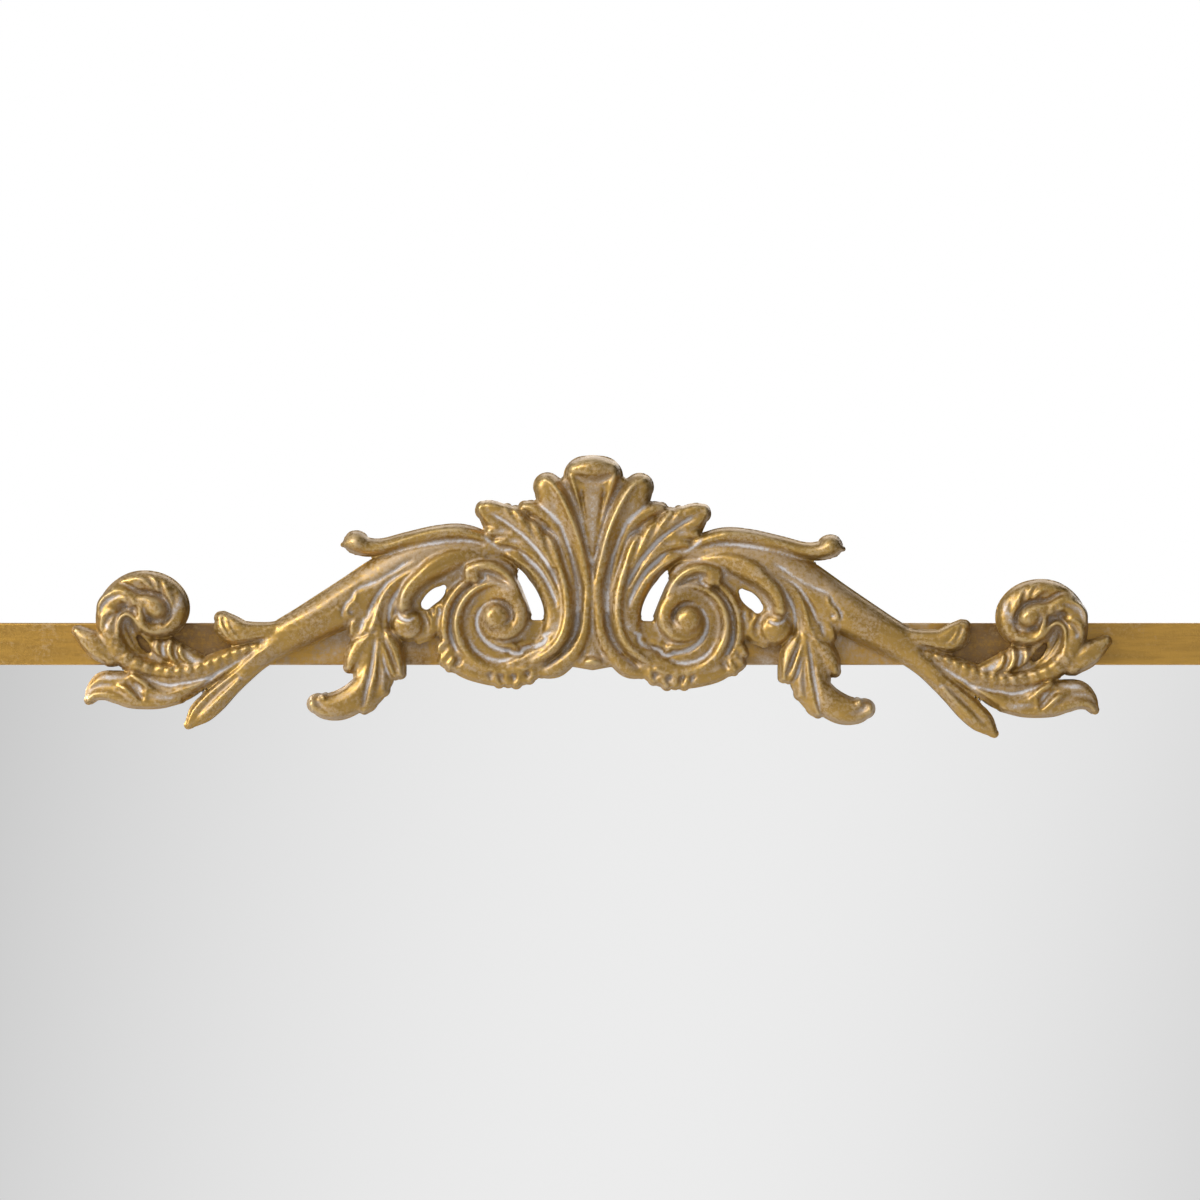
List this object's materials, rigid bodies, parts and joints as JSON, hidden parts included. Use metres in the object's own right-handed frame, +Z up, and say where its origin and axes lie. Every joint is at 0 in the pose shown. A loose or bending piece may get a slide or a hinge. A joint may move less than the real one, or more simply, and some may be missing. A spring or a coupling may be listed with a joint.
{
  "type": "wall mirror",
  "caption": "Rectangular wall mirror in a thin gilt steel frame, with a carved acanthus scroll and shell crest over its top rail.",
  "frame": {"origin": "on the wall plane, midway between the two points where the raised hanger rings bear on their wall hooks", "axes": "+X to the viewer's right along the top rail, +Z up, +Y into the wall; the mirror faces -Y"},
  "size_m": [0.61, 0.039, 0.9154],
  "materials": {
    "frame_gilt": "satin antique gold paint with a faint pale wash",
    "crest_gilt": "cast resin, burnished antique gold over a grey white wash in the hollows",
    "silvered_glass": "silvered float glass with eased edges",
    "backing_hardboard": "brown hardboard",
    "zinc_steel": "zinc plated",
    "screw_steel": "zinc plated",
    "spring_steel": "oiled blue grey spring steel",
    "bumper_rubber": "matt black",
    "hanger_brass": "brass plated"
  },
  "bodies": {
    "mirror": {"top_rail": "frame_gilt", "bottom_rail": "frame_gilt", "left_stile": "frame_gilt", "right_stile": "frame_gilt", "corner_key_top_left": "zinc_steel", "corner_key_top_right": "zinc_steel", "corner_key_bottom_left": "zinc_steel", "corner_key_bottom_right": "zinc_steel", "corner_screws": "screw_steel", "mirror_glass": "silvered_glass", "backing_board": "backing_hardboard", "spring_clips_top": "spring_steel", "spring_clips_bottom": "spring_steel", "spring_clips_left": "spring_steel", "spring_clips_right": "spring_steel", "wall_bumpers": "bumper_rubber", "hanger_strap_left": "hanger_brass", "hanger_strap_right": "hanger_brass", "hanger_screws": "screw_steel", "crest_casting": "crest_gilt", "crest_screws": "screw_steel"},
    "left_ring": {"hanger_ring_left": "hanger_brass"},
    "right_ring": {"hanger_ring_right": "hanger_brass"}
  },
  "joints": [
    {"name": "left_ring_hinge", "type": "hinge", "parent": "mirror", "child": "left_ring", "pos_m": [-0.298, -0.0029, -0.016], "axis": [-1, 0, 0], "range_deg": [0, 176]},
    {"name": "right_ring_hinge", "type": "hinge", "parent": "mirror", "child": "right_ring", "pos_m": [0.298, -0.0029, -0.016], "axis": [-1, 0, 0], "range_deg": [0, 176]}
  ]
}
